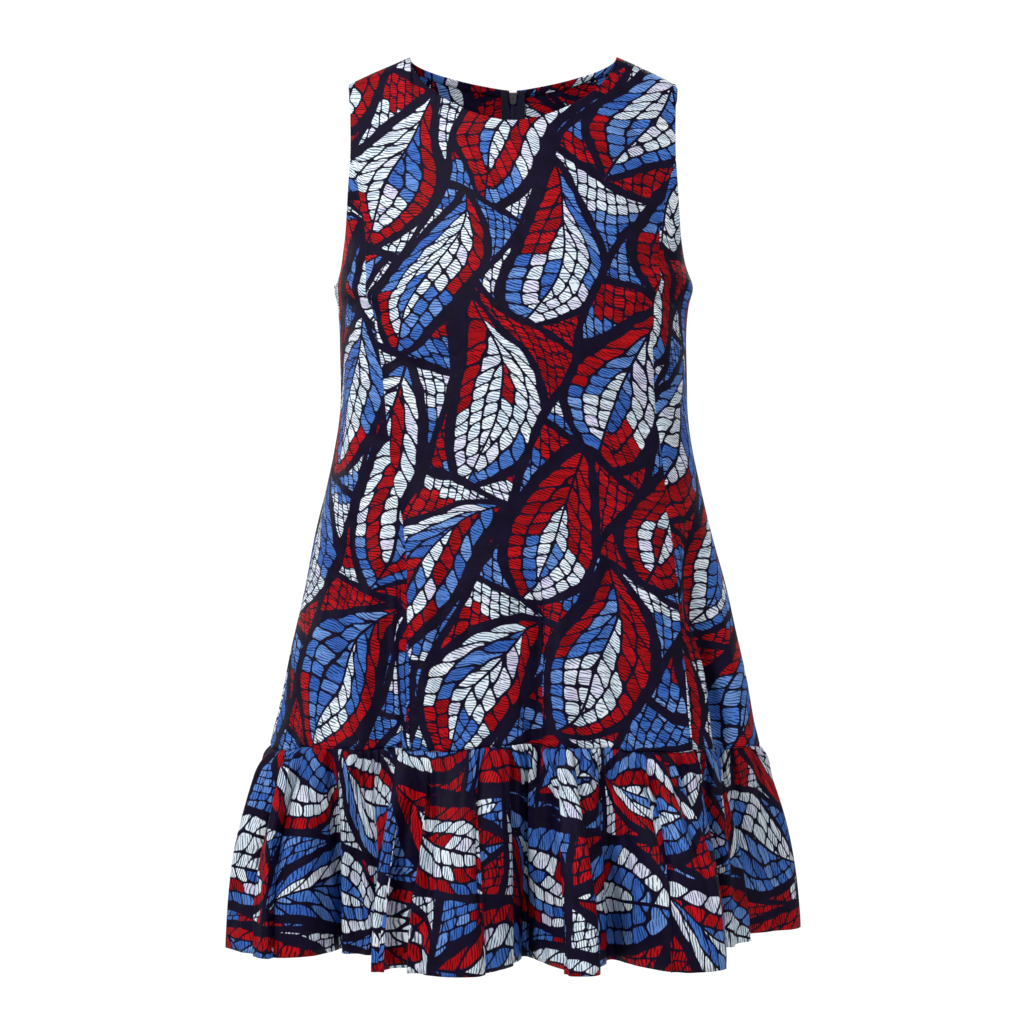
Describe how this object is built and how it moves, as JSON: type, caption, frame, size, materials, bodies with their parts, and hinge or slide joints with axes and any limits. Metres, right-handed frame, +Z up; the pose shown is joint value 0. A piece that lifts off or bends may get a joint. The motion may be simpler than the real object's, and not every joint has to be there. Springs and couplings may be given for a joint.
{
  "type": "ankara wax print dress",
  "caption": "Sleeveless above-knee A-line cotton dress with princess seams, a gathered hem flounce and a concealed back zip, filled out as worn.",
  "frame": {"origin": "midway between the two shoulder seams, at the height of their neck ends, where the wearer's shoulders hold the dress up", "axes": "+Z up, the front faces -Y, the wearer's left is +X"},
  "size_m": [0.5586, 0.3874, 0.8466],
  "materials": {
    "cotton": "crisp satin cotton wax print in red, blue and white on dark navy",
    "zip_tape": "dark navy woven polyester tape",
    "zip_coil": "dark navy nylon coil",
    "zip_slider": "nickel-plated zinc, slightly dulled",
    "zip_pull_tab": "nickel-plated zinc, slightly dulled"
  },
  "bodies": {
    "root": {"front_centre": "cotton", "side_front_right": "cotton", "side_front_left": "cotton", "back_right": "cotton", "back_left": "cotton", "flounce_front": "cotton", "flounce_back": "cotton", "zip_tape_right": "zip_tape", "zip_tape_left": "zip_tape", "zip_coil": "zip_coil", "zip_slider": "zip_slider"},
    "pull_tab": {"zip_pull_tab": "zip_pull_tab"}
  },
  "joints": [
    {"name": "pull_tab_hinge", "type": "hinge", "parent": "root", "child": "pull_tab", "pos_m": [0, 0.06218, -0.02634], "axis": [1, 0, 0], "range_deg": [0, 160]}
  ]
}
